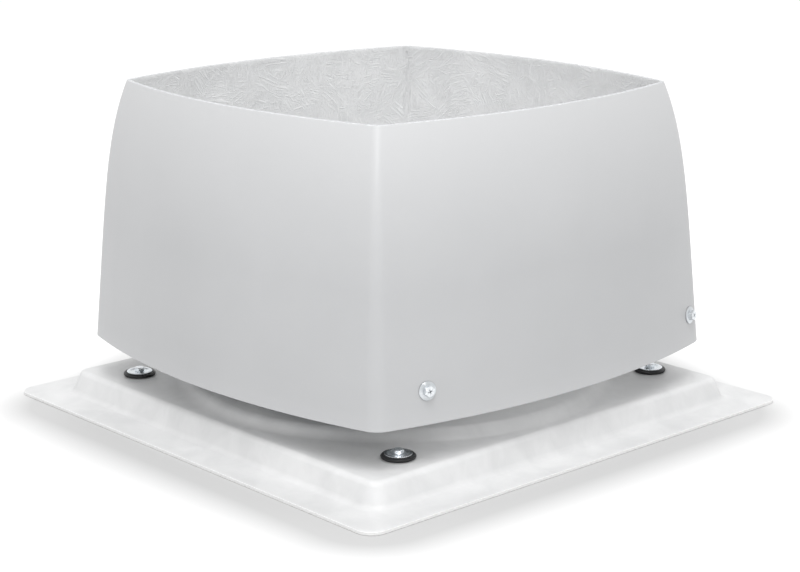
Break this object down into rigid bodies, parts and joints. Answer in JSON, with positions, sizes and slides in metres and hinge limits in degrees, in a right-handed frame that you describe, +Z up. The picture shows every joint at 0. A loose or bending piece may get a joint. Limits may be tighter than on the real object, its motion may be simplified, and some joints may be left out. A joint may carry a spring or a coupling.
{
  "type": "roof exhaust hood fan",
  "caption": "Roof exhaust fan: square moulded base with raised platform, open-topped bowed wind hood, motor and centrifugal wheel on a steel frame inside.",
  "frame": {"origin": "centre of the underside of the base's roof flange", "axes": "+Z up along the fan's axis, -Y to the front side, +X to the side that shows hood screws"},
  "size_m": [0.6, 0.6, 0.354],
  "materials": {
    "base_gelcoat": "satin off-white gelcoat on glass-reinforced plastic",
    "hood_gelcoat": "satin light grey gelcoat on glass-reinforced plastic",
    "black_rubber": "moulded black rubber",
    "zinc_plate": "bright zinc plate",
    "galvanised_steel": "galvanised sheet steel",
    "cast_aluminium": "turned casting",
    "motor_paint": "dark grey machine paint",
    "bright_steel": "ground steel",
    "copper_winding": "varnished copper winding",
    "black_plastic": "black polyamide"
  },
  "bodies": {
    "housing": {"base_plate": "base_gelcoat", "hood": "hood_gelcoat", "mount_grommet_front_right": "black_rubber", "mount_grommet_front_left": "black_rubber", "mount_grommet_rear_right": "black_rubber", "mount_grommet_rear_left": "black_rubber", "mount_washer_front_right": "zinc_plate", "mount_washer_front_left": "zinc_plate", "mount_washer_rear_right": "zinc_plate", "mount_washer_rear_left": "zinc_plate", "mount_bolt_front_right": "zinc_plate", "mount_bolt_front_left": "zinc_plate", "mount_bolt_rear_right": "zinc_plate", "mount_bolt_rear_left": "zinc_plate", "mount_nut_front_right": "zinc_plate", "mount_nut_front_left": "zinc_plate", "mount_nut_rear_right": "zinc_plate", "mount_nut_rear_left": "zinc_plate", "post_nut_front_right": "zinc_plate", "post_nut_front_left": "zinc_plate", "post_nut_rear_right": "zinc_plate", "post_nut_rear_left": "zinc_plate", "hood_screw_front_right": "zinc_plate", "hood_screw_front_left": "zinc_plate", "hood_screw_rear_right": "zinc_plate", "hood_screw_rear_left": "zinc_plate", "bracket_bolt_front_right": "zinc_plate", "bracket_bolt_front_left": "zinc_plate", "bracket_bolt_rear_right": "zinc_plate", "bracket_bolt_rear_left": "zinc_plate", "support_frame": "galvanised_steel", "carrier_plate": "galvanised_steel", "inlet_nozzle": "galvanised_steel", "post_front_right": "galvanised_steel", "post_front_left": "galvanised_steel", "post_rear_right": "galvanised_steel", "post_rear_left": "galvanised_steel", "hood_bracket_front_right": "galvanised_steel", "hood_bracket_front_left": "galvanised_steel", "hood_bracket_rear_right": "galvanised_steel", "hood_bracket_rear_left": "galvanised_steel", "motor_flange": "motor_paint", "motor_housing": "motor_paint", "motor_end_shield": "motor_paint", "fan_cowl": "motor_paint", "terminal_box": "motor_paint", "terminal_lid": "motor_paint", "lower_bearing": "bright_steel", "upper_bearing": "bright_steel", "stator_core": "copper_winding", "cable_gland": "black_plastic"},
    "rotor": {"motor_shaft": "bright_steel", "rotor_core": "bright_steel", "cooling_fan": "black_plastic", "impeller_hub": "cast_aluminium", "impeller_wheel": "galvanised_steel", "impeller_shroud": "galvanised_steel"}
  },
  "joints": [
    {"name": "impeller_spin", "type": "hinge", "parent": "housing", "child": "rotor", "pos_m": [0, 0, 0.1], "axis": [0, 0, 1], "continuous": true}
  ]
}
